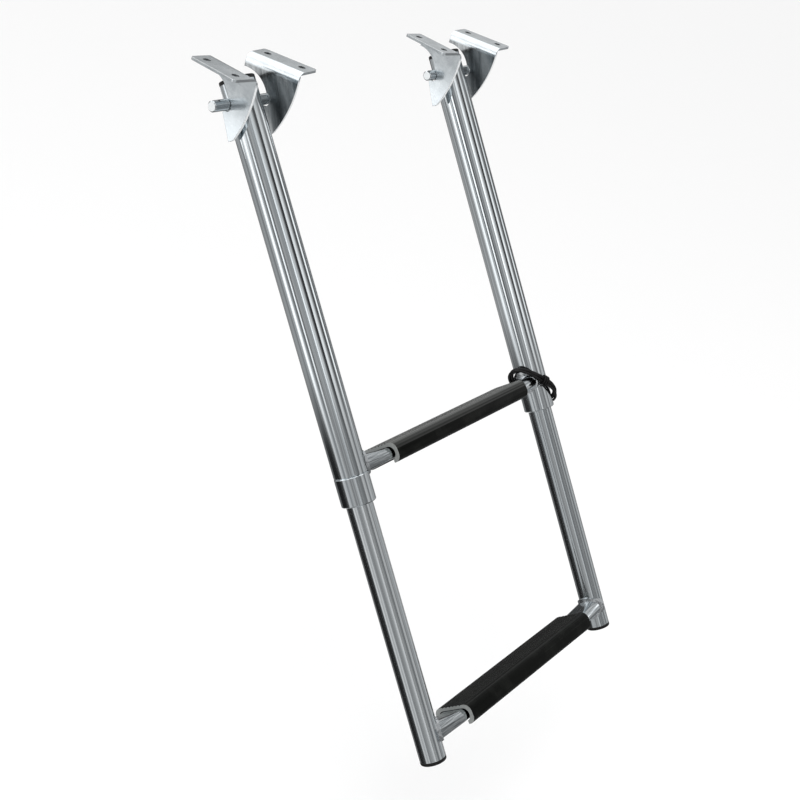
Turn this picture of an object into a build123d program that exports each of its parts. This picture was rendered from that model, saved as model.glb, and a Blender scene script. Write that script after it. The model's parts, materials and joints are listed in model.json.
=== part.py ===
from build123d import *
import math
import os

# Boat boarding ladder with two steps: a telescoping stainless frame on four loose angle brackets.
# Millimetres and degrees. The origin is on the brackets' mounting plane, midway between the two
# rails and straight above the pivot pins. +Z is the mounting plane's outward normal, +X runs along
# the pins, and -Y is the side that the climber stands on. A distance "s" is measured down a rail
# from the pin axis.

RAIL_SPACING = 320.0
PIN_DROP = 34.0
RAIL_LEAN = 36.0
TREAD_TILT = 7.5

# tubes and sleeves
OUTER_TUBE_OD = 32.0
OUTER_TUBE_WALL = 1.5
OUTER_TUBE_TOP = -17.5
OUTER_TUBE_END = 340.0
OUTER_TUBE_CHAMFER = 0.6
INNER_TUBE_OD = 25.0
INNER_TUBE_WALL = 1.5
INNER_TUBE_TOP = 298.0
INNER_TUBE_END = 614.0
COLLAR_OD = 32.4
COLLAR_END = 367.0
COLLAR_LIP = 2.5
COLLAR_LIP_ID = 25.8
COLLAR_CHAMFER = 0.9
BUSHING_TOP = 331.0
GLIDE_TOP = 300.0
GLIDE_END = 330.5
SLIDING_GAP = 0.05
SEATING_GAP = 0.02

# pivot pins and plugs
PIN_DIAMETER = 10.0
PIN_LENGTH = 80.0
PIN_CHAMFER = 1.0
PLUG_HEAD = 3.5
PLUG_SPIGOT = 11.0
PLUG_EDGE = 1.2

# angle brackets
PLATE = 2.5
BEND_RADIUS = 8.0
FLANGE_WIDTH = 28.0
FLANGE_BACK = -26.5
FLANGE_FRONT = 30.5
FLANGE_CORNER = 3.0
SCREW_HOLE = 6.5
SCREW_SPACING = 37.0
SCREW_EDGE = 10.0
NOTCH_RADIUS = 6.2
EAR_WAIST = (26.8, 1.0)
EAR_TIP_FRONT = (15.2, -26.8)
EAR_TIP_REAR = (10.4, -30.2)
EAR_TIP_RADIUS = 1.6
EAR_LIP = (-3.4, -8.0)
EAR_LIP_RADIUS = 1.0
EAR_SHOULDER = (-7.5, 16.2)
NOTCH_FOOT = (-1.1, -6.1)
NOTCH_HEAD = (1.0, 6.1)
EAR_TOP_FRONT = 26.0
EAR_TOP_BACK = 21.5

# The brackets sit loose on the pins, so each has its own place. A row is the bracket's name, its rail,
# the side its flange points to, the ear's distance from the rail's axis, and the toe-out in degrees.
BRACKETS = (
    ("left_outboard_bracket", "left", -1, 18.5, 6.6),
    ("left_inboard_bracket", "left", 1, 27.5, 6.6),
    ("right_inboard_bracket", "right", -1, 26.2, 10.5),
    ("right_outboard_bracket", "right", 1, 30.5, 4.0),
)

# rungs and treads
UPPER_STEP = 337.0
LOWER_STEP = 594.5
TREAD_LENGTH = 228.0
RUNG_WALL = 1.5
RUNG_END_DEPTH = 25.0
RUNG_END_HEIGHT = 20.0
RUNG_END_LIFT = 2.5
RUNG_FLAT_DEPTH = 32.5
RUNG_FLAT_HEIGHT = 12.0
RUNG_FLAT_HALF = 118.0
WELD = 2.2
TREAD_DEPTH = 44.5
TREAD_HEIGHT = 19.4
TREAD_CORNER = 7.5
TREAD_BORE_DEPTH = 36.5
TREAD_BORE_HEIGHT = 12.6
TREAD_SLOT = 27.0
GROOVE_COUNT = 6
GROOVE_PITCH = 4.2
GROOVE_WIDTH = 1.2
GROOVE_DEPTH = 0.6

# rubber retaining strap, a loop round the right rail
STRAP_CORD = 4.6
STRAP_RADIUS = 20.4
STRAP_MIDDLE = 339.0
STRAP_SLANT = 45.0

# how far a cutting shape runs past the piece, and what a nearly round corner leaves straight
OVERRUN = 1.0
CORNER_FLAT = 0.1

LEAN = math.radians(RAIL_LEAN)
PIN_CENTRE = Vector(0, 0, -PIN_DROP)
ACROSS = Vector(1, 0, 0)
UP_RAIL = Vector(0, math.sin(LEAN), math.cos(LEAN))
REAR = Vector(0, math.cos(LEAN), -math.sin(LEAN))
RAILS = {"left": -RAIL_SPACING / 2, "right": RAIL_SPACING / 2}
OUTER_TUBE_ID = OUTER_TUBE_OD - 2 * OUTER_TUBE_WALL
INNER_TUBE_ID = INNER_TUBE_OD - 2 * INNER_TUBE_WALL

os.makedirs("parts", exist_ok=True)


def write(piece, name):
    """Labels one finished piece and writes it as one STEP file."""
    piece.part.label = name
    export_step(piece.part, f"parts/{name}.step")


def ladder_point(x, s):
    """The point at x across the ladder and s down its rails."""
    return PIN_CENTRE + ACROSS * x - UP_RAIL * s


def rail_plane(x, s):
    """A plane square to the rails: local x across the ladder, local y to the rear, normal up the rail."""
    return Plane(origin=ladder_point(x, s), x_dir=ACROSS, z_dir=UP_RAIL)


def step_plane(x, s):
    """A plane square to a rung: local x to the rear, tilted with the tread, normal across the ladder."""
    tilt = math.radians(TREAD_TILT)
    depth = REAR * math.cos(tilt) - UP_RAIL * math.sin(tilt)
    return Plane(origin=ladder_point(x, s), x_dir=depth, z_dir=ACROSS)


def ring(x, top, end, outer, inner):
    """A tube or sleeve on a rail's axis, from s = top down to s = end."""
    with BuildPart() as sleeve:
        with BuildSketch(rail_plane(x, top)):
            Circle(outer / 2)
            Circle(inner / 2, mode=Mode.SUBTRACT)
        extrude(amount=top - end)
    return sleeve


def end_plug(x, end, bore, head, outward):
    """A plug in a tube's end: a spigot inside the bore and a rounded head on the end."""
    with BuildPart() as plug:
        with BuildSketch(rail_plane(x, end)):
            Circle(bore / 2 - SEATING_GAP)
        extrude(amount=-outward * PLUG_SPIGOT)
        with BuildSketch(rail_plane(x, end)):
            Circle(head / 2)
        extrude(amount=outward * PLUG_HEAD)
        rim = plug.faces().sort_by(Axis((0, 0, 0), UP_RAIL * outward))[-1].edges()
        fillet(rim, radius=PLUG_EDGE)
    return plug


# ---------------------------------------------------------------- angle brackets

def angle_bracket(rail_x, hand, ear_gap, toe_out):
    """One pressed angle plate. hand is the side of the rail that its flange points to, +1 or -1."""
    toe = math.radians(toe_out)
    outward = Vector(hand * math.cos(toe), math.sin(toe), 0)
    forward = Vector(hand * math.sin(toe), -math.cos(toe), 0)
    on_pin = Vector(rail_x + hand * ear_gap, 0, -PIN_DROP)
    on_top = Vector(on_pin.X, 0, 0)
    length = FLANGE_FRONT - FLANGE_BACK
    middle = (FLANGE_FRONT + FLANGE_BACK) / 2
    ear_foot = -PIN_DROP + EAR_TIP_REAR[1] - OVERRUN
    above_flange = PIN_DROP + OVERRUN

    with BuildPart() as bracket:
        # the folded section, square to the fold
        with BuildSketch(Plane(origin=on_top + forward * middle, x_dir=outward, z_dir=forward * hand)):
            with BuildLine():
                Polyline(
                    (0, ear_foot), (PLATE, ear_foot), (PLATE, -PLATE),
                    (FLANGE_WIDTH, -PLATE), (FLANGE_WIDTH, 0), (0, 0), close=True,
                )
            section = make_face()
            fillet(section.vertices().sort_by_distance((0, 0))[0], radius=BEND_RADIUS)
            fillet(section.vertices().sort_by_distance((PLATE, -PLATE))[0], radius=BEND_RADIUS - PLATE)
        extrude(amount=length / 2, both=True)

        # the ear's outline, seen along the pin: x forward, y up, from the pin's axis. Behind the pin it
        # opens in a notch, and below that its rear edge runs straight down to a blunt tip.
        with BuildSketch(Plane(origin=on_pin, x_dir=forward, z_dir=outward * -hand)):
            with BuildLine():
                front = ThreePointArc((FLANGE_FRONT, EAR_TOP_FRONT), EAR_WAIST, EAR_TIP_FRONT)
                rear = Polyline(front @ 1, EAR_TIP_REAR, EAR_LIP, NOTCH_FOOT)
                notch = ThreePointArc(rear @ 1, (NOTCH_RADIUS, 0), NOTCH_HEAD)
                back = ThreePointArc(notch @ 1, EAR_SHOULDER, (FLANGE_BACK, EAR_TOP_BACK))
                Polyline(
                    back @ 1, (FLANGE_BACK, above_flange), (FLANGE_FRONT, above_flange), front @ 0,
                )
            outline = make_face()
            tip = [outline.vertices().sort_by_distance(corner)[0] for corner in (EAR_TIP_FRONT, EAR_TIP_REAR)]
            fillet(tip, radius=EAR_TIP_RADIUS)
            fillet(outline.vertices().sort_by_distance(EAR_LIP)[0], radius=EAR_LIP_RADIUS)
        extrude(amount=FLANGE_WIDTH + OVERRUN, both=True, mode=Mode.INTERSECT)

        # two screw holes near the flange's free edge
        hole_y = hand * (FLANGE_WIDTH - SCREW_EDGE)
        with BuildSketch(Plane(origin=on_top + forward * middle, x_dir=forward, z_dir=(0, 0, 1))):
            with Locations((-SCREW_SPACING / 2, hole_y), (SCREW_SPACING / 2, hole_y)):
                Circle(SCREW_HOLE / 2)
        extrude(amount=-PLATE, mode=Mode.SUBTRACT)

        free_corners = bracket.edges().filter_by(Axis.Z).sort_by(Axis((0, 0, 0), outward))[-2:]
        fillet(free_corners, radius=FLANGE_CORNER)
    return bracket


for name, side, hand, ear_gap, toe_out in BRACKETS:
    write(angle_bracket(RAILS[side], hand, ear_gap, toe_out), name)


# ---------------------------------------------------------------- rails

for side, rail_x in RAILS.items():
    # outer tube, drilled across for its pivot pin
    with BuildPart() as outer_tube:
        with BuildSketch(rail_plane(rail_x, OUTER_TUBE_TOP)):
            Circle(OUTER_TUBE_OD / 2)
            Circle(OUTER_TUBE_ID / 2, mode=Mode.SUBTRACT)
        extrude(amount=OUTER_TUBE_TOP - OUTER_TUBE_END)
        lower_rim = outer_tube.faces().sort_by(Axis((0, 0, 0), UP_RAIL))[0].edges().sort_by(SortBy.RADIUS)[-1]
        chamfer(lower_rim, length=OUTER_TUBE_CHAMFER)
        with BuildSketch(Plane(origin=ladder_point(rail_x, 0), x_dir=REAR, z_dir=ACROSS)):
            Circle(PIN_DIAMETER / 2 + SEATING_GAP)
        extrude(amount=OUTER_TUBE_OD, both=True, mode=Mode.SUBTRACT)
    write(outer_tube, f"{side}_outer_tube")

    with BuildPart() as pivot_pin:
        with BuildSketch(Plane(origin=ladder_point(rail_x, 0), x_dir=REAR, z_dir=ACROSS)):
            Circle(PIN_DIAMETER / 2)
        extrude(amount=PIN_LENGTH / 2, both=True)
        chamfer(pivot_pin.edges().filter_by(GeomType.CIRCLE), length=PIN_CHAMFER)
    write(pivot_pin, f"{side}_pivot_pin")

    top_plug = end_plug(rail_x, OUTER_TUBE_TOP, OUTER_TUBE_ID, OUTER_TUBE_OD, 1)
    write(top_plug, f"{side}_top_plug")

    # collar under the outer tube, with an inward lip that holds the bushing up
    with BuildPart() as collar:
        with BuildSketch(rail_plane(rail_x, OUTER_TUBE_END)):
            Circle(COLLAR_OD / 2)
        extrude(amount=OUTER_TUBE_END - COLLAR_END)
        outside_rims = collar.edges().filter_by(GeomType.CIRCLE)
        chamfer(outside_rims, length=COLLAR_CHAMFER)
        with BuildSketch(rail_plane(rail_x, OUTER_TUBE_END)):
            Circle(OUTER_TUBE_ID / 2)
        extrude(amount=OUTER_TUBE_END - COLLAR_END + COLLAR_LIP, mode=Mode.SUBTRACT)
        with BuildSketch(rail_plane(rail_x, OUTER_TUBE_END)):
            Circle(COLLAR_LIP_ID / 2)
        extrude(amount=OUTER_TUBE_END - COLLAR_END, mode=Mode.SUBTRACT)
    write(collar, f"{side}_collar")

    bushing_od = OUTER_TUBE_ID - 2 * SEATING_GAP
    bushing_id = INNER_TUBE_OD + 2 * SLIDING_GAP
    collar_bushing = ring(rail_x, BUSHING_TOP, COLLAR_END - COLLAR_LIP, bushing_od, bushing_id)
    write(collar_bushing, f"{side}_collar_bushing")

    inner_tube = ring(rail_x, INNER_TUBE_TOP, INNER_TUBE_END, INNER_TUBE_OD, INNER_TUBE_ID)
    write(inner_tube, f"{side}_inner_tube")

    glide_od = OUTER_TUBE_ID - 2 * SLIDING_GAP
    glide_id = INNER_TUBE_OD + 2 * SEATING_GAP
    top_glide = ring(rail_x, GLIDE_TOP, GLIDE_END, glide_od, glide_id)
    write(top_glide, f"{side}_top_glide")

    foot_plug = end_plug(rail_x, INNER_TUBE_END, INNER_TUBE_ID, INNER_TUBE_OD, -1)
    write(foot_plug, f"{side}_foot_plug")


# ---------------------------------------------------------------- rungs, welds and treads

def rung_section(plane, depth, height, inset):
    """A rounded rectangle across the rung, shrunk by inset on every side."""
    with BuildSketch(plane) as section:
        wide = depth - 2 * inset
        tall = height - 2 * inset
        RectangleRounded(wide, tall, tall / 2 - CORNER_FLAT)
    return section


def rung_body(s, inset, mode):
    """Adds or cuts the rung's form: round by the rails, pressed flat under the tread."""
    for direction in (-1, 1):
        end_plane = step_plane(direction * RAIL_SPACING / 2, s - RUNG_END_LIFT)
        end = rung_section(end_plane, RUNG_END_DEPTH, RUNG_END_HEIGHT, inset)
        flat_plane = step_plane(direction * RUNG_FLAT_HALF, s)
        flat = rung_section(flat_plane, RUNG_FLAT_DEPTH, RUNG_FLAT_HEIGHT, inset)
        loft([end.sketch, flat.sketch], ruled=True, mode=mode)
    middle = rung_section(step_plane(0, s), RUNG_FLAT_DEPTH, RUNG_FLAT_HEIGHT, inset)
    extrude(middle.sketch, amount=RUNG_FLAT_HALF, both=True, mode=mode)


def cut_rails(s, diameter):
    """Cuts both rails' outside out of a rung or a weld."""
    for rail_x in RAILS.values():
        with BuildSketch(rail_plane(rail_x, s)) as rail:
            Circle(diameter / 2)
        extrude(rail.sketch, amount=RUNG_FLAT_DEPTH * 2, both=True, mode=Mode.SUBTRACT)


STEPS = {"upper": (UPPER_STEP, COLLAR_OD), "lower": (LOWER_STEP, INNER_TUBE_OD)}

for level, (s, rail_od) in STEPS.items():
    with BuildPart() as rung:
        rung_body(s, 0, Mode.ADD)
        rung_body(s, RUNG_WALL, Mode.SUBTRACT)
        cut_rails(s, rail_od)
        # what lies beyond the rails' centre lines falls away
        with BuildSketch(rail_plane(0, s)):
            Rectangle(RAIL_SPACING, RAIL_SPACING)
        extrude(amount=RAIL_SPACING, both=True, mode=Mode.INTERSECT)
        keep = rung.solids().sort_by_distance(ladder_point(0, s))[0]
    with BuildPart() as rung:
        add(keep)
    write(rung, f"{level}_rung")

    # weld beads: rings that hug both the rung and the rail
    with BuildPart() as welds:
        for rail_x in RAILS.values():
            with BuildSketch(rail_plane(rail_x, s)) as around_rail:
                Circle(rail_od / 2 + WELD)
            extrude(around_rail.sketch, amount=RUNG_FLAT_DEPTH, both=True)
        reach = RAIL_SPACING / 2
        bead = rung_section(step_plane(0, s - RUNG_END_LIFT), RUNG_END_DEPTH, RUNG_END_HEIGHT, -WELD)
        extrude(bead.sketch, amount=reach, both=True, mode=Mode.INTERSECT)
        rung_body(s, 0, Mode.SUBTRACT)
        cut_rails(s, rail_od)
    write(welds, f"{level}_rung_welds")

    # tread: a channel closed over the flattened rung, open along its underside
    with BuildPart() as tread:
        with BuildSketch(step_plane(0, s)):
            RectangleRounded(TREAD_DEPTH, TREAD_HEIGHT, TREAD_CORNER)
            bore_corner = TREAD_BORE_HEIGHT / 2 - CORNER_FLAT
            RectangleRounded(TREAD_BORE_DEPTH, TREAD_BORE_HEIGHT, bore_corner, mode=Mode.SUBTRACT)
            with Locations((0, -TREAD_HEIGHT / 2)):
                Rectangle(TREAD_SLOT, TREAD_HEIGHT, mode=Mode.SUBTRACT)
            with Locations((0, TREAD_HEIGHT / 2)):
                with GridLocations(GROOVE_PITCH, 1, GROOVE_COUNT, 1):
                    Rectangle(GROOVE_WIDTH, 2 * GROOVE_DEPTH, mode=Mode.SUBTRACT)
        extrude(amount=TREAD_LENGTH / 2, both=True)
    write(tread, f"{level}_tread")


# ---------------------------------------------------------------- retaining strap

slant = math.radians(STRAP_SLANT)
strap_axis = ACROSS * math.cos(slant) - UP_RAIL * math.sin(slant)
strap_centre = ladder_point(RAILS["right"], STRAP_MIDDLE)
with BuildPart() as retaining_strap:
    with BuildLine(Plane(origin=strap_centre, x_dir=strap_axis, z_dir=strap_axis.cross(REAR))) as loop:
        EllipticalCenterArc((0, 0), STRAP_RADIUS / math.cos(slant), STRAP_RADIUS, arc_size=360)
    with BuildSketch(Plane(origin=loop.line @ 0, z_dir=loop.line % 0)):
        Circle(STRAP_CORD / 2)
    sweep(path=loop.line)
write(retaining_strap, "retaining_strap")
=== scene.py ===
"""A boat boarding ladder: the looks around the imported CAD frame. Metres, in the row's frame."""
import json
import math

import bpy
from mathutils import Matrix, Vector


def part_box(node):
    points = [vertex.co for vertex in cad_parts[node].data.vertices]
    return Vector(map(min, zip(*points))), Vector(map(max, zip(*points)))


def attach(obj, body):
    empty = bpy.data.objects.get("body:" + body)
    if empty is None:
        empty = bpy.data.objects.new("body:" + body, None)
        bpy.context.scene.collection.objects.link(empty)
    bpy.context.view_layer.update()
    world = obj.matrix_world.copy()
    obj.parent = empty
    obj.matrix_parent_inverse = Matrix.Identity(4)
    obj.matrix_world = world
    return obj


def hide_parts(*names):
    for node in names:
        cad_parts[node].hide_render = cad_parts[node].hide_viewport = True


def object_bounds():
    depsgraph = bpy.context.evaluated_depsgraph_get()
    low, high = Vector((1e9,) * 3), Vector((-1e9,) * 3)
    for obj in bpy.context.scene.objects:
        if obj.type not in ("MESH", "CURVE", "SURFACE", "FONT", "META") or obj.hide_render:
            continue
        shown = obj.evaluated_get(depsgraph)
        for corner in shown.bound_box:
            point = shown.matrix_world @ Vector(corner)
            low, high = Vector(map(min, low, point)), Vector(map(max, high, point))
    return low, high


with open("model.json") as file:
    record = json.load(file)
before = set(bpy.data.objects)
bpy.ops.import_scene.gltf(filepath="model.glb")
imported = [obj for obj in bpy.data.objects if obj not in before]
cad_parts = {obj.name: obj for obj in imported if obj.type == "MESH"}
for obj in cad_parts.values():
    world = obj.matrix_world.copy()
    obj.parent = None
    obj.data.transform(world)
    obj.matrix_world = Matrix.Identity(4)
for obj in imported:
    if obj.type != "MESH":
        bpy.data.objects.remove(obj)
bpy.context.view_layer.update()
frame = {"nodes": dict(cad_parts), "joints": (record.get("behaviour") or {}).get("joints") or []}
NODES = frame["nodes"]
JOINTS = {joint["name"]: joint for joint in frame["joints"]}
MM = 0.001

# the ladder's own directions, from its joints
ACROSS = Vector(JOINTS["ladder_swing"]["axis"]).normalized()
UP_RAIL = Vector(JOINTS["lower_section_slide"]["axis"]).normalized()
REAR = UP_RAIL.cross(ACROSS)
PIN_AXIS = Vector(JOINTS["ladder_swing"]["pos_m"])

# the treads' tops face a little to the rear of straight up the rails
TREAD_TILT = math.radians(7.5)
TREAD_UP = UP_RAIL * math.cos(TREAD_TILT) + REAR * math.sin(TREAD_TILT)

CAMERA_PLACE = Vector((-1.0740, -0.7475, 0.3368))


# ---------------------------------------------------------------- node helpers

class Graph:
    """A short way to write a node material."""

    def __init__(self, name):
        self.material = bpy.data.materials.new(name)
        self.material.use_nodes = True
        self.tree = self.material.node_tree
        self.tree.nodes.clear()
        self.output = self.add("ShaderNodeOutputMaterial")

    def add(self, kind, **settings):
        node = self.tree.nodes.new(kind)
        for key, value in settings.items():
            setattr(node, key, value)
        return node

    def put(self, socket, value):
        """Links a node's output to an input, or sets the input's own value."""
        if isinstance(value, bpy.types.NodeSocket):
            self.tree.links.new(value, socket)
        elif isinstance(value, bpy.types.Node):
            self.tree.links.new(value.outputs[0], socket)
        else:
            socket.default_value = value
        return socket

    def math(self, operation, a, b=0.0, c=0.0):
        node = self.add("ShaderNodeMath", operation=operation)
        for socket, value in zip(node.inputs, (a, b, c)):
            self.put(socket, value)
        return node.outputs[0]

    def math_vector(self, operation, a, b):
        node = self.add("ShaderNodeVectorMath", operation=operation)
        self.put(node.inputs[0], a)
        self.put(node.inputs[1], b)
        return node.outputs[0]

    def dot(self, vector, direction):
        node = self.add("ShaderNodeVectorMath", operation="DOT_PRODUCT")
        self.put(node.inputs[0], vector)
        self.put(node.inputs[1], direction)
        return node.outputs["Value"]

    def ramp(self, value, stops):
        """Maps a number through stops of (place, grey level or colour)."""
        node = self.add("ShaderNodeValToRGB")
        elements = node.color_ramp.elements
        while len(elements) < len(stops):
            elements.new(1.0)
        for element, (place, shade) in zip(elements, stops):
            element.position = place
            element.color = (shade, shade, shade, 1) if isinstance(shade, (int, float)) else (*shade, 1)
        self.put(node.inputs[0], value)
        return node.outputs[0]

    def noise(self, vector, scale, detail=3.0, roughness=0.5):
        node = self.add("ShaderNodeTexNoise")
        self.put(node.inputs["Vector"], vector)
        self.put(node.inputs["Scale"], scale)
        self.put(node.inputs["Detail"], detail)
        self.put(node.inputs["Roughness"], roughness)
        return node.outputs[0]

    def mix(self, factor, a, b):
        node = self.add("ShaderNodeMix", data_type="RGBA")
        self.put(node.inputs[0], factor)
        self.put(node.inputs[6], a if not isinstance(a, tuple) else (*a, 1))
        self.put(node.inputs[7], b if not isinstance(b, tuple) else (*b, 1))
        return node.outputs[2]

    def bump(self, height, distance, strength=1.0, normal=None):
        node = self.add("ShaderNodeBump")
        self.put(node.inputs["Height"], height)
        self.put(node.inputs["Distance"], distance)
        self.put(node.inputs["Strength"], strength)
        if normal is not None:
            self.put(node.inputs["Normal"], normal)
        return node.outputs[0]

    def true_normal(self):
        return self.add("ShaderNodeNewGeometry").outputs["Normal"]

    def rounded_edges(self, radius):
        node = self.add("ShaderNodeBevel", samples=6)
        self.put(node.inputs["Radius"], radius)
        return node.outputs[0]

    def edge_mask(self, radius):
        """1 on edges and 0 on flats, from how far a rounded normal leans from the true one."""
        lean = self.dot(self.rounded_edges(radius), self.true_normal())
        return self.ramp(self.math("SUBTRACT", 1.0, lean), [(0.0, 0.0), (0.25, 1.0)])

    def hollows(self, reach):
        """1 inside holes and 0 in the open, from how much of the same piece is within reach in front."""
        node = self.add("ShaderNodeAmbientOcclusion", samples=8, only_local=True)
        self.put(node.inputs["Distance"], reach)
        return self.ramp(node.outputs["AO"], [(0.76, 1.0), (0.93, 0.0)])

    def surface(self, **inputs):
        shader = self.add("ShaderNodeBsdfPrincipled")
        for key, value in inputs.items():
            name = key.replace("_", " ")
            self.put(shader.inputs[name], (*value, 1) if isinstance(value, tuple) else value)
        self.tree.links.new(shader.outputs[0], self.output.inputs["Surface"])
        return self.material

    def place(self):
        return self.add("ShaderNodeTexCoord").outputs["Object"]

    def streaks(self, along, fine, coarse):
        """A place vector that is drawn out along one direction, for brushed or drawn metal."""
        side = along.orthogonal().normalized()
        other = along.cross(side)
        place = self.place()
        node = self.add("ShaderNodeCombineXYZ")
        for socket, direction, density in zip(node.inputs, (side, other, along), (fine, fine, coarse)):
            self.put(socket, self.math("MULTIPLY", self.dot(place, direction), density))
        return node.outputs[0]


# ---------------------------------------------------------------- materials

EDGE_ROUND = 0.5 * MM
# the ways the plate was polished and rolled
POLISHED_ALONG = Vector((0.1, 0.95, 0.2)).normalized()
ROLLED_ALONG = Vector((0, 0.35, 0.94)).normalized()


def polished_tube(name, along, tone=1.0, haze=0.0):
    """Drawn and polished stainless tube, with fine lines along its length. Haze makes it more satin."""
    g = Graph(name)
    drawn = g.ramp(g.noise(g.streaks(along, 560, 1.0), 1.0, 3, 0.6), [(0.38, 0.0), (0.62, 1.0)])
    fine = g.noise(g.streaks(along, 1900, 6), 1.0, 4)
    broad = g.noise(g.streaks(along, 240, 1.5), 1.0, 2)
    smudge = g.noise(g.place(), 22, 5)
    dark = tuple(tone * part for part in (0.47, 0.51, 0.535))
    light = tuple(tone * part for part in (0.88, 0.925, 0.95))
    tint = g.mix(drawn, dark, light)
    rough = g.math("MULTIPLY_ADD", fine, 0.06, 0.025 + haze)
    rough = g.math("MULTIPLY_ADD", smudge, 0.05, rough)
    normal = g.bump(broad, 0.06 * MM, 0.45, g.rounded_edges(0.4 * MM))
    normal = g.bump(drawn, 0.008 * MM, 0.4, normal)
    normal = g.bump(fine, 0.006 * MM, 0.35, normal)
    # sawn and faced ends are matt, so they look pale from any side
    faced = g.ramp(g.math("ABSOLUTE", g.dot(g.true_normal(), along)), [(0.93, 0.0), (0.97, 1.0)])
    tint = g.mix(faced, tint, (0.86, 0.89, 0.90))
    rough = g.math("MULTIPLY_ADD", faced, 0.45, rough)
    metal = g.math("MULTIPLY_ADD", faced, -0.6, 1.0)
    return g.surface(Base_Color=tint, Metallic=metal, Roughness=rough, Normal=normal)


def polished_plate(name, painted_shade_side=None):
    """
    Polished pressed plate. The ear's sheared edges are pale and matt, and the screw holes are painted dark
    inside as painted shade.
    The ear's face towards the given side is painted darker below the bend as painted shade, with rolling
    lines in it.
    """
    g = Graph(name)
    ripple = g.noise(g.place(), 38, 2)
    scratches = g.noise(g.streaks(POLISHED_ALONG, 1500, 30), 1.0, 4)
    smudge = g.noise(g.place(), 90, 6)
    clouded = g.mix(g.ramp(smudge, [(0.40, 0.0), (0.68, 1.0)]), (0.72, 0.77, 0.80), (0.82, 0.87, 0.90))
    hairline = g.ramp(scratches, [(0.30, 1.0), (0.42, 0.0)])
    scratched = g.mix(g.math("MULTIPLY", hairline, 0.45), clouded, (0.45, 0.49, 0.52))

    centimetres_down = g.math("MULTIPLY", g.dot(g.place(), Vector((0, 0, -1))), 100.0)
    tint = scratched
    if painted_shade_side is not None:
        # the face towards the given side is painted darker below the bend: painted shade, with rolling lines
        # in it
        painted_shade_face = g.ramp(g.dot(g.true_normal(), painted_shade_side), [(0.96, 0.0), (0.975, 1.0)])
        mill_lines = g.noise(g.streaks(ROLLED_ALONG, 230, 9), 1.0, 3)
        painted_shade_mill = g.mix(g.ramp(mill_lines, [(0.38, 0.0), (0.62, 1.0)]), (0.24, 0.255, 0.265), (0.46, 0.48, 0.49))
        below_bend = g.ramp(centimetres_down, [(0.82, 0.0), (0.99, 1.0)])
        tint = g.mix(g.math("MULTIPLY", painted_shade_face, below_bend), scratched, painted_shade_mill)

    end_on = g.math("ABSOLUTE", g.dot(g.true_normal(), Vector((0, 1, 0))))
    below_flange = g.ramp(centimetres_down, [(0.5, 0.0), (0.9, 1.0)])
    sheared = g.math("MULTIPLY", g.ramp(end_on, [(0.45, 0.0), (0.6, 1.0)]), below_flange)
    # the plate's rounded edges are painted paler: a painted highlight
    tint = g.mix(g.edge_mask(EDGE_ROUND), tint, (0.95, 0.96, 0.97))
    tint = g.mix(sheared, tint, (0.90, 0.92, 0.93))
    upright = g.ramp(g.math("ABSOLUTE", g.dot(g.true_normal(), Vector((0, 0, 1)))), [(0.2, 1.0), (0.4, 0.0)])
    in_flange = g.math("MULTIPLY", upright, g.ramp(centimetres_down, [(0.24, 1.0), (0.28, 0.0)]))
    # the inside of the screw holes in the flange is painted dark: painted shade in the recess
    hole_painted_shade = g.math("MULTIPLY", in_flange, g.hollows(8 * MM))
    tint = g.mix(hole_painted_shade, tint, (0.16, 0.17, 0.18))
    rough = g.math("MULTIPLY_ADD", smudge, 0.10, 0.14)
    rough = g.math("MULTIPLY_ADD", scratches, 0.06, rough)
    rough = g.math("MULTIPLY_ADD", sheared, 0.30, rough)
    metal = g.math("MULTIPLY_ADD", sheared, -0.7, 1.0)
    normal = g.bump(ripple, 0.30 * MM, 0.40, g.rounded_edges(EDGE_ROUND))
    normal = g.bump(scratches, 0.010 * MM, 0.7, normal)
    return g.surface(Base_Color=tint, Metallic=metal, Roughness=rough, Normal=normal)


def weld_metal(name):
    """A wire-brushed weld bead with small overlapping ripples."""
    g = Graph(name)
    grain = g.noise(g.place(), 900, 4)
    ripples = g.noise(g.place(), 420, 2)
    tint = g.mix(ripples, (0.40, 0.42, 0.44), (0.80, 0.83, 0.85))
    rough = g.math("MULTIPLY_ADD", grain, 0.25, 0.12)
    normal = g.bump(grain, 0.03 * MM, 0.6, g.bump(ripples, 0.2 * MM, 0.6))
    return g.surface(Base_Color=tint, Metallic=1.0, Roughness=rough, Normal=normal)


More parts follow.
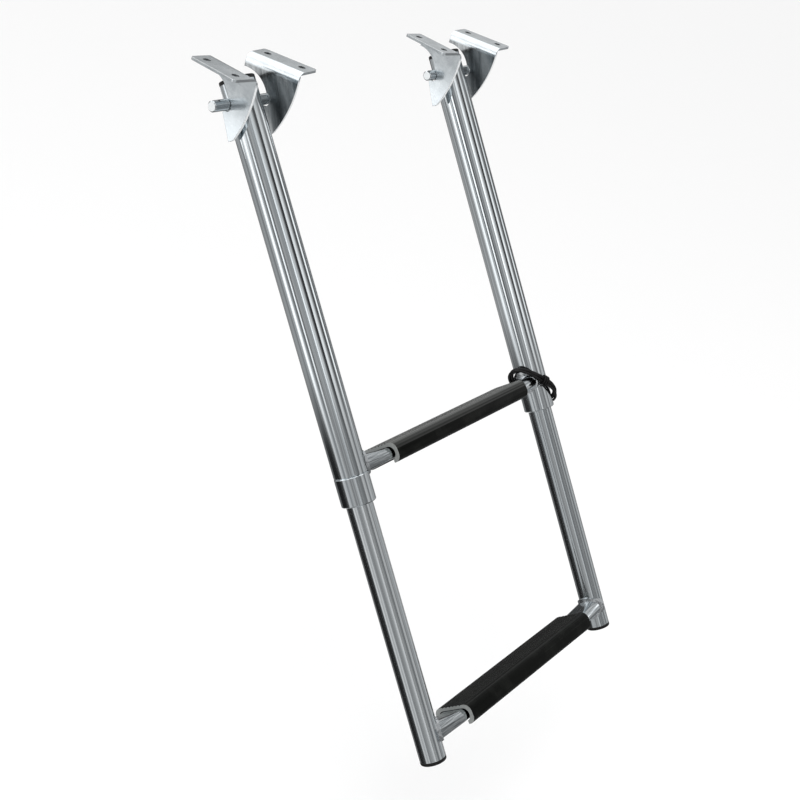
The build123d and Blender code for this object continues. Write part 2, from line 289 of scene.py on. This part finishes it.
def tread_plastic(name, dust_and_sheen_strength):
    """
    Satin black extruded plastic with die lines along it and greyer sawn ends. The top and its front corner
    show pale at a slant: partly a layer of dust and fine scratches, partly a painted sheen. The last argument
    is how much there is of it.
    """
    g = Graph(name)
    lines = g.noise(g.streaks(ACROSS, 900, 3), 1.0, 3)
    pebble = g.noise(g.place(), 1400, 3)
    dust = g.ramp(g.noise(g.place(), 70, 6), [(0.48, 0.0), (0.75, 1.0)])
    face = g.math("ABSOLUTE", g.dot(g.true_normal(), ACROSS))
    sawn = g.ramp(face, [(0.92, 0.0), (0.97, 1.0)])
    saw_marks = g.noise(g.streaks(REAR, 60, 700), 1.0, 4)
    end_grey = g.mix(saw_marks, (0.19, 0.20, 0.20), (0.34, 0.35, 0.34))
    black = g.mix(dust, (0.0018, 0.0022, 0.0018), (0.0065, 0.0072, 0.0062))
    worn = g.mix(g.math("MULTIPLY", g.edge_mask(EDGE_ROUND), 0.35), black, (0.022, 0.024, 0.022))
    towards_eye = g.add("ShaderNodeNewGeometry").outputs["Incoming"]
    facing = g.math("ABSOLUTE", g.dot(g.true_normal(), towards_eye))
    slant = g.ramp(facing, [(0.06, 1.0), (0.55, 0.85), (0.75, 0.0)])
    uppermost = g.ramp(g.dot(g.true_normal(), TREAD_UP), [
        (0.03, 0.0), (0.06, 0.075), (0.14, 0.07), (0.24, 0.035),
        (0.50, 0.06), (0.70, 0.10), (0.87, 0.17), (1.0, 0.22),
    ])
    streaked = g.math("MULTIPLY", g.ramp(lines, [(0.38, 0.55), (0.62, 1.35)]), uppermost)
    # dust and fine scratches together with a painted sheen, paler when the top and front corner are seen at a
    # slant
    dust_and_sheen = g.math("MULTIPLY", g.math("MULTIPLY", streaked, slant), dust_and_sheen_strength)
    dusty_and_sheened = g.math_vector("ADD", worn, g.math_vector("MULTIPLY", dust_and_sheen, (1.0, 1.02, 1.0)))
    tint = g.mix(sawn, dusty_and_sheened, end_grey)
    rough = g.math("MULTIPLY_ADD", lines, 0.22, 0.10)
    rough = g.math("MULTIPLY_ADD", sawn, 0.3, rough)
    normal = g.bump(lines, 0.010 * MM, 0.6, g.rounded_edges(EDGE_ROUND))
    normal = g.bump(pebble, 0.004 * MM, 0.5, normal)
    return g.surface(Base_Color=tint, Roughness=rough, IOR=1.17, Normal=normal)


def moulded_plastic(name, dark, light, rough_low):
    """Injection-moulded plastic with a fine spark grain and rubbed edges."""
    g = Graph(name)
    grain = g.noise(g.place(), 900, 4)
    cloud = g.noise(g.place(), 60, 4)
    tint = g.mix(g.math("MULTIPLY", g.edge_mask(EDGE_ROUND), 0.5), g.mix(cloud, dark, light), light)
    rough = g.math("MULTIPLY_ADD", grain, 0.2, rough_low)
    normal = g.bump(grain, 0.04 * MM, 0.6, g.rounded_edges(EDGE_ROUND))
    return g.surface(Base_Color=tint, Roughness=rough, IOR=1.3, Normal=normal)


def strap_rubber(name):
    """Black rubber cord: faintly chalky, with small pits."""
    g = Graph(name)
    pits = g.noise(g.place(), 1100, 4)
    bloom = g.ramp(g.noise(g.place(), 140, 5), [(0.42, 0.0), (0.8, 1.0)])
    tint = g.mix(bloom, (0.003, 0.003, 0.0035), (0.014, 0.014, 0.015))
    rough = g.math("MULTIPLY_ADD", pits, 0.25, 0.32)
    return g.surface(Base_Color=tint, Roughness=rough, IOR=1.3, Normal=g.bump(pits, 0.08 * MM, 0.7))


TUBE = polished_tube("polished_tube", UP_RAIL)
SATIN_TUBE = polished_tube("satin_tube", UP_RAIL, tone=0.98, haze=0.05)
CROSS_TUBE = polished_tube("polished_cross_tube", ACROSS, tone=0.9, haze=0.03)
BRIGHT_PLATE = polished_plate("polished_plate")
# these two brackets have their ears' faces towards the left painted darker below the bend, as painted shade
PAINTED_SHADE_PLATE = polished_plate("painted_shade_plate", painted_shade_side=-ACROSS)
WELD = weld_metal("weld_metal")
# the upper tread gets far more of the dust and painted sheen than the lower one
UPPER_TREAD = tread_plastic("tread_plastic_sheened", dust_and_sheen_strength=0.75)
LOWER_TREAD = tread_plastic("tread_plastic", dust_and_sheen_strength=0.06)
PLUG = moulded_plastic("plug_plastic", (0.003, 0.003, 0.003), (0.012, 0.012, 0.012), rough_low=0.3)
NYLON = moulded_plastic("natural_nylon", (0.70, 0.68, 0.62), (0.82, 0.80, 0.75), rough_low=0.35)
STRAP = strap_rubber("strap_rubber")

FINISHES = {
    "left_outboard_bracket": BRIGHT_PLATE, "right_inboard_bracket": BRIGHT_PLATE,
    "left_inboard_bracket": PAINTED_SHADE_PLATE, "right_outboard_bracket": PAINTED_SHADE_PLATE,
    "outer_tube": TUBE, "inner_tube": SATIN_TUBE, "collar": TUBE, "pivot_pin": CROSS_TUBE,
    "plug": PLUG, "bushing": NYLON, "glide": NYLON, "rung": CROSS_TUBE, "welds": WELD,
    "upper_tread": UPPER_TREAD, "lower_tread": LOWER_TREAD,
    "strap": STRAP,
}


def finish_for(node_name):
    """The material whose key is the last one found in the node's name."""
    found = [(node_name.rfind(key), key) for key in FINISHES if key in node_name]
    return FINISHES[max(found)[1]]


for node_name, node in NODES.items():
    node.data.materials.clear()
    node.data.materials.append(finish_for(node_name))


# ---------------------------------------------------------------- retaining strap

def cord(name, points, radius):
    """A smooth closed rubber cord along points, as a bevelled curve that rides on the upper frame."""
    curve = bpy.data.curves.new(name, "CURVE")
    curve.dimensions = "3D"
    curve.bevel_depth = radius
    curve.bevel_resolution = 5
    curve.resolution_u = 6
    spline = curve.splines.new("NURBS")
    spline.points.add(len(points) - 1)
    for point, place in zip(spline.points, points):
        point.co = (*place, 1)
    spline.use_cyclic_u = True
    spline.order_u = 4
    rope = bpy.data.objects.new(name, curve)
    bpy.context.scene.collection.objects.link(rope)
    rope.data.materials.append(STRAP)
    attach(rope, "upper_frame")
    return rope


strap_low, strap_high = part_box("retaining_strap")
STRAP_CENTRE = (strap_low + strap_high) / 2
# radii of the main cord, the thin cord and the twine
CORD = 2.4 * MM
THIN_CORD = 1.3 * MM
TWINE = 0.8 * MM
STRAP_RADIUS = (strap_high.x - strap_low.x) / 2 - CORD
CORD_SPACING = CORD + THIN_CORD + 0.5 * MM
KNOT_TURN = math.radians(-105)
RUNG_TURN = math.radians(168)
# the main cord's slant across the rail, and how it gives way on its way round
SLANT = 0.88
LOWERED = 1.6 * MM
RISE_OVER_RUNG = 3.6 * MM
OUT_OVER_RUNG = 0.9 * MM
HANG_ON_RIGHT = 2.4 * MM


def round_rail(turn, radius, height):
    """A point beside the rail. turn is round it from the right side to the rear."""
    return STRAP_CENTRE + ACROSS * radius * math.cos(turn) + REAR * radius * math.sin(turn) + UP_RAIL * height


def main_loop(turn, out=0.0, down=0.0):
    """
    A point of the main cord, or out and down from it. The cord slants, rides up over the rung's weld, hangs
    lower on the right and stands off the rail at the knot.
    """
    over_rung = max(0.0, math.cos(turn - RUNG_TURN)) ** 2
    on_right = max(0.0, math.cos(turn)) ** 2
    radius = STRAP_RADIUS * (0.995 + 0.04 * math.cos(turn - KNOT_TURN)) + OUT_OVER_RUNG * over_rung
    height = -LOWERED - SLANT * radius * math.cos(turn)
    height += RISE_OVER_RUNG * over_rung - HANG_ON_RIGHT * on_right
    return round_rail(turn, radius + out, height - down)


def thin_loop(turn):
    """A point of the thin cord: it runs below the main one, and outside it over the rung."""
    swing = math.pi / 2 * max(0.0, -math.cos(turn)) ** 2
    down = CORD_SPACING + 1.2 * MM * math.sin(turn) ** 2
    return main_loop(turn, CORD_SPACING * math.sin(swing), down * math.cos(swing))


turns = [2 * math.pi * step / 40 for step in range(40)]
strap_main = cord("strap_loop", [main_loop(turn) for turn in turns], CORD)
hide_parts("retaining_strap")
cord("strap_thin_loop", [thin_loop(turn) for turn in turns], THIN_CORD)

# three rounds of twine tie the two cords together at the front of the rail
TWINE_PITCH = 1.7 * MM
for number in (1, 2, 3):
    turn = KNOT_TURN + (number - 2) * TWINE_PITCH / STRAP_RADIUS
    along = (main_loop(turn + 0.05) - main_loop(turn - 0.05)).normalized()
    to_thin = thin_loop(turn) - main_loop(turn)
    to_thin = (to_thin - along * to_thin.dot(along)).normalized()
    sideways = along.cross(to_thin)
    centre = main_loop(turn) + to_thin * (CORD_SPACING + THIN_CORD - CORD) / 2
    half_long = (CORD + CORD_SPACING + THIN_CORD) / 2 + TWINE + 0.4 * MM
    half_wide = CORD + TWINE + 0.5 * MM
    angles = [2 * math.pi * step / 24 for step in range(24)]
    ring = [centre + to_thin * half_long * math.cos(a) + sideways * half_wide * math.sin(a) for a in angles]
    cord(f"strap_lashing_{number}", ring, TWINE)


# ---------------------------------------------------------------- stage, light and camera

low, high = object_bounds()
# the floor lies just below the ladder's foot when its rails hang straight down
reach = (Vector((0, low.y, low.z)) - PIN_AXIS).dot(-UP_RAIL)
FLOOR_Z = PIN_AXIS.z - reach - 0.06
FLOOR_HALF = 30.0
floor_mesh = bpy.data.meshes.new("floor")
corners = [(FLOOR_HALF * x, FLOOR_HALF * y, FLOOR_Z) for x, y in ((-1, -1), (1, -1), (1, 1), (-1, 1))]
floor_mesh.from_pydata(corners, [], [(0, 1, 2, 3)])
floor = bpy.data.objects.new("floor", floor_mesh)
bpy.context.scene.collection.objects.link(floor)
g = Graph("pale_floor")
floor.data.materials.append(g.surface(Base_Color=(0.93, 0.93, 0.93), Roughness=0.9))
floor.visible_glossy = False

world = bpy.data.worlds.new("studio")
bpy.context.scene.world = world
world.use_nodes = True
world.cycles.sampling_method = "NONE"


class WorldGraph(Graph):
    """The same short way to write the world's own nodes."""

    def __init__(self, tree):
        self.tree = tree
        self.tree.nodes.clear()


# What the polished metal mirrors: strip lights with dark gaps between them. An entry is an angle round
# the rail, in degrees from the climber's side towards the right, and the brightness there.
# LEVEL is square to the rails, ABOVE and BELOW are higher and lower than that, and STEEP is lower still.
LEVEL = [
    (-180, 0.44), (-127, 0.46), (-123, 1.50), (-107, 1.50), (-104, 0.60), (-92, 0.34), (-84, 0.30),
    (-82, 1.50), (-77, 1.50), (-75, 0.14), (-66, 0.16), (-64, 0.62), (-40, 0.46), (-35, 0.46),
    (-33, 2.00), (-27, 2.00), (-25, 0.80), (-16, 0.70), (-8, 0.36), (-5, 0.06), (7, 0.06),
    (10, 1.10), (22, 0.90), (27, 0.46), (42, 0.10), (52, 0.14), (56, 1.40), (64, 1.40), (70, 0.16),
    (100, 0.24), (158, 0.34),
]
ABOVE = [
    (-180, 0.46), (-134, 0.46), (-129, 1.35), (-92, 1.40), (-84, 0.80), (-72, 0.20), (-60, 0.45),
    (-38, 0.90), (-20, 0.80), (-6, 0.15), (10, 0.15), (16, 0.75), (30, 0.50), (60, 0.60),
    (112, 0.56), (122, 0.07), (160, 0.07), (172, 0.46),
]
BELOW = [
    (-180, 0.06), (-168, 0.02), (-140, 0.02), (-126, 0.06), (-116, 0.16), (-112, 0.70),
    (-103, 0.70), (-99, 0.42), (-86, 0.60), (-76, 0.52), (-70, 0.30), (-56, 0.34), (-40, 0.42),
    (-34, 0.75), (-27, 0.75), (-24, 0.18), (-14, 0.34), (-2, 0.34), (4, 0.18), (10, 0.18),
    (14, 0.52), (26, 0.44), (34, 0.26), (46, 0.50), (70, 0.50), (84, 0.34), (110, 0.30),
    (160, 0.20),
]
STEEP = [
    (-180, 0.40), (-160, 0.20), (-134, 0.24), (-128, 0.95), (-112, 1.00), (-104, 0.30), (-74, 0.34),
    (-68, 0.85), (-58, 0.80), (-50, 0.26), (-30, 0.30), (-24, 1.10), (-8, 1.00), (0, 0.26),
    (20, 0.50), (44, 0.24), (132, 0.20), (140, 0.90), (154, 0.95), (162, 0.30), (174, 0.30),
]
w = WorldGraph(world.node_tree)
direction = w.add("ShaderNodeTexCoord").outputs["Generated"]
front_up = -REAR
around = w.math("ARCTAN2", w.dot(direction, ACROSS), w.dot(direction, front_up))
turn = w.math("MULTIPLY_ADD", around, 1 / (2 * math.pi), 0.5)
climb = w.math("MULTIPLY_ADD", w.dot(direction, UP_RAIL), 0.5, 0.5)


def climbing(value, start, end):
    """0 up to start and 1 from end on, both as sines of the angle above square to the rail."""
    return w.ramp(value, [((start + 1) / 2, 0.0), ((end + 1) / 2, 1.0)])


level, above, below, steep = (
    w.ramp(turn, [((angle + 180) / 360, shade) for angle, shade in band])
    for band in (LEVEL, ABOVE, BELOW, STEEP)
)
reflected = w.mix(climbing(climb, -0.46, -0.40), steep, below)
reflected = w.mix(climbing(climb, -0.14, -0.08), reflected, level)
reflected = w.mix(climbing(climb, 0.06, 0.13), reflected, above)
# thin upright lines, as of a room's edges and seams, that break up the broad strips
seam_place = w.add("ShaderNodeCombineXYZ")
w.put(seam_place.inputs[0], w.math("MULTIPLY", turn, 46.0))
w.put(seam_place.inputs[1], w.math("MULTIPLY", climb, 2.5))
seams = w.ramp(w.noise(seam_place, 1.0, 2.0, 0.6), [(0.36, 0.62), (0.50, 1.0), (0.62, 1.0), (0.68, 1.45)])
reflected = w.math_vector("MULTIPLY", reflected, seams)
reflected = w.mix(climbing(climb, 0.69, 0.76), reflected, (1.40, 1.40, 1.40))
path = w.add("ShaderNodeLightPath")
colour = w.mix(path.outputs["Is Glossy Ray"], (1.0, 1.0, 1.0), reflected)
background = w.add("ShaderNodeBackground")
w.put(background.inputs["Color"], colour)
w.put(background.inputs["Strength"], 1.0)
w.tree.links.new(background.outputs[0], w.add("ShaderNodeOutputWorld").inputs["Surface"])


def softbox(name, place, aim, size, power):
    """A square soft light that mirrors don't show."""
    data = bpy.data.lights.new(name, "AREA")
    data.shape = "SQUARE"
    data.size = size
    data.energy = power
    light = bpy.data.objects.new(name, data)
    light.location = place
    light.rotation_euler = (Vector(aim) - Vector(place)).to_track_quat("-Z", "Y").to_euler()
    light.visible_glossy = False
    bpy.context.scene.collection.objects.link(light)


def card(name, place, facing, upward, width, height, stops):
    """A glowing card that only mirrors can see. stops are its brightness from its lower edge up."""
    across = upward.cross(facing).normalized()
    up = facing.cross(across).normalized()
    mesh = bpy.data.meshes.new(name)
    half = [(-0.5, -0.5), (0.5, -0.5), (0.5, 0.5), (-0.5, 0.5)]
    mesh.from_pydata([place + across * width * a + up * height * b for a, b in half], [], [(0, 1, 2, 3)])
    panel = bpy.data.objects.new(name, mesh)
    bpy.context.scene.collection.objects.link(panel)
    g = Graph(name)
    rise = g.math("DIVIDE", g.dot(g.math_vector("SUBTRACT", g.place(), place), up), height)
    glow = g.add("ShaderNodeEmission")
    g.put(glow.inputs["Color"], g.ramp(g.math("ADD", rise, 0.5), stops))
    g.tree.links.new(glow.outputs[0], g.output.inputs["Surface"])
    mesh.materials.append(g.material)
    panel.visible_camera = False
    panel.visible_diffuse = False
    panel.visible_shadow = False
    panel.visible_transmission = False


CARD_DISTANCE = 0.3
CARD_WIDTH = 0.12
CARD_HEIGHT = 0.07
CARD_UP = Vector((0, -0.5, 1))
# from an ear's lower front corner to the part that its card lights up
LOWER_EAR = Vector((0, 0.022, 0.012))
# small white bounce cards that light up the lower part of the two ears that face the camera
for node_name in ("left_outboard_bracket", "right_inboard_bracket"):
    faces = [face for face in NODES[node_name].data.polygons if face.normal.x < -0.9]
    ear = max(faces, key=lambda face: face.area)
    ear_low, ear_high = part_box(node_name)
    target = Vector(((ear_low.x + ear_high.x) / 2, ear_low.y, ear_low.z)) + LOWER_EAR
    bounce = (target - CAMERA_PLACE).normalized().reflect(ear.normal)
    card(
        node_name + "_bounce", target + bounce * CARD_DISTANCE, -bounce, CARD_UP, CARD_WIDTH, CARD_HEIGHT,
        [(0.0, 1.60), (0.62, 1.50), (0.74, 0.50), (1.0, 0.46)],
    )

middle = (low + high) / 2
KEY_PLACE = middle + Vector((-1.2, -0.8, 2.0))
softbox("key", KEY_PLACE, middle, size=1.6, power=18)

# camera at the photograph's viewing angle
LOOK = Vector((0.7697, 0.4371, -0.4653)).normalized()
ROLL = math.radians(-15.2)
LENS = 62.5
SENSOR = 36.0
camera_data = bpy.data.cameras.new("camera")
camera_data.lens = LENS
camera_data.sensor_width = SENSOR
camera = bpy.data.objects.new("camera", camera_data)
unrolled = LOOK.to_track_quat("-Z", "Y").to_matrix()
camera.matrix_world = Matrix.Translation(CAMERA_PLACE) @ (Matrix.Rotation(ROLL, 3, LOOK) @ unrolled).to_4x4()
bpy.context.scene.collection.objects.link(camera)
bpy.context.scene.camera = camera
bpy.context.scene.view_settings.view_transform = "Standard"
